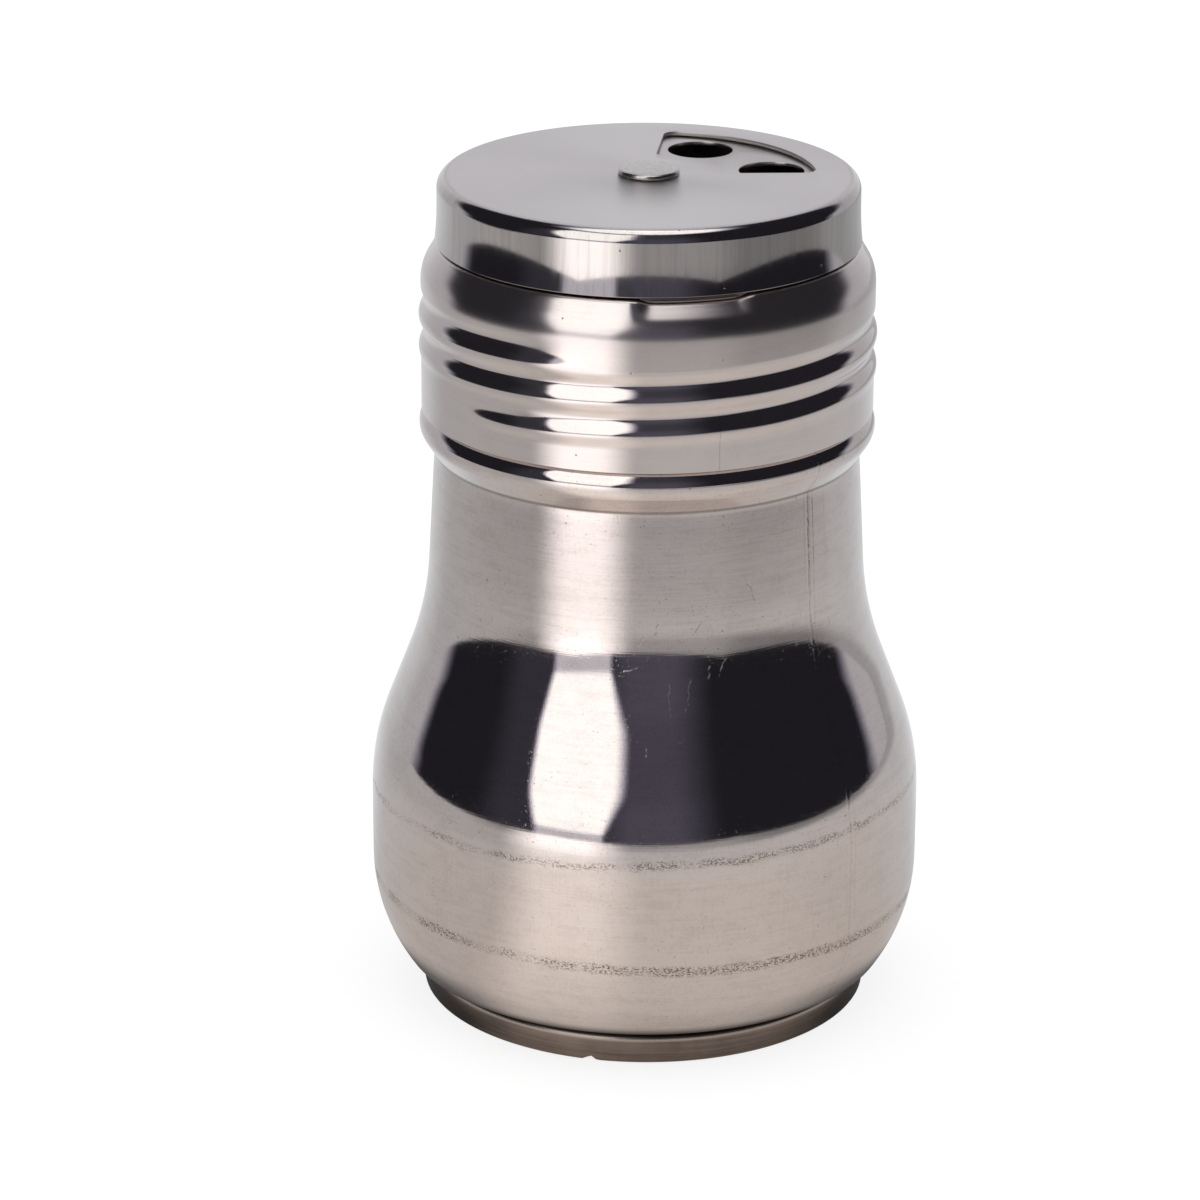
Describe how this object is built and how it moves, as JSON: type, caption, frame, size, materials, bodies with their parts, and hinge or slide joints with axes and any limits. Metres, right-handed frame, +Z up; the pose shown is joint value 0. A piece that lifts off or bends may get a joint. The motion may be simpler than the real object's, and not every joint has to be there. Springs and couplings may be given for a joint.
{
  "type": "spice shaker",
  "caption": "Bellied sheet-steel spice shaker with a rolled-thread screw lid, a pierced plate and a riveted rotating dial with a sector window.",
  "frame": {"origin": "centre of the foot ring's resting face", "axes": "+Z up the shaker's axis, -Y to its front; the dial's window is at the back right, towards +X +Y"},
  "size_m": [0.0694, 0.0694, 0.1073],
  "materials": {
    "container_steel": "polished, with fine lines round it",
    "foot_steel": "satin",
    "lid_steel": "polished",
    "dial_steel": "polished",
    "rivet_steel": "polished",
    "washer_steel": "plain",
    "seam_compound": "matte"
  },
  "bodies": {
    "container": {"body_shell": "container_steel", "bottom_end": "foot_steel", "seam_compound": "seam_compound"},
    "rivet": {"center_rivet": "rivet_steel", "dished_washer": "washer_steel", "tail_washer": "washer_steel"},
    "lid": {"lid_shell": "lid_steel"},
    "dial": {"dial_cap": "dial_steel"}
  },
  "joints": [
    {"name": "lid_lift", "type": "slide", "parent": "container", "child": "rivet", "axis": [0, 0, 1], "range_m": [0, 0.00622]},
    {"name": "lid_turn", "type": "hinge", "parent": "rivet", "child": "lid", "pos_m": [0, 0, 0.1], "axis": [0, 0, 1], "range_deg": [0, 540]},
    {"name": "dial_turn", "type": "hinge", "parent": "lid", "child": "dial", "pos_m": [0, 0, 0.1063], "axis": [0, 0, 1], "continuous": true}
  ],
  "couplings": [
    {"joint": "lid_lift", "follows": "lid_turn", "m_per_rad": 0.00066049}
  ]
}
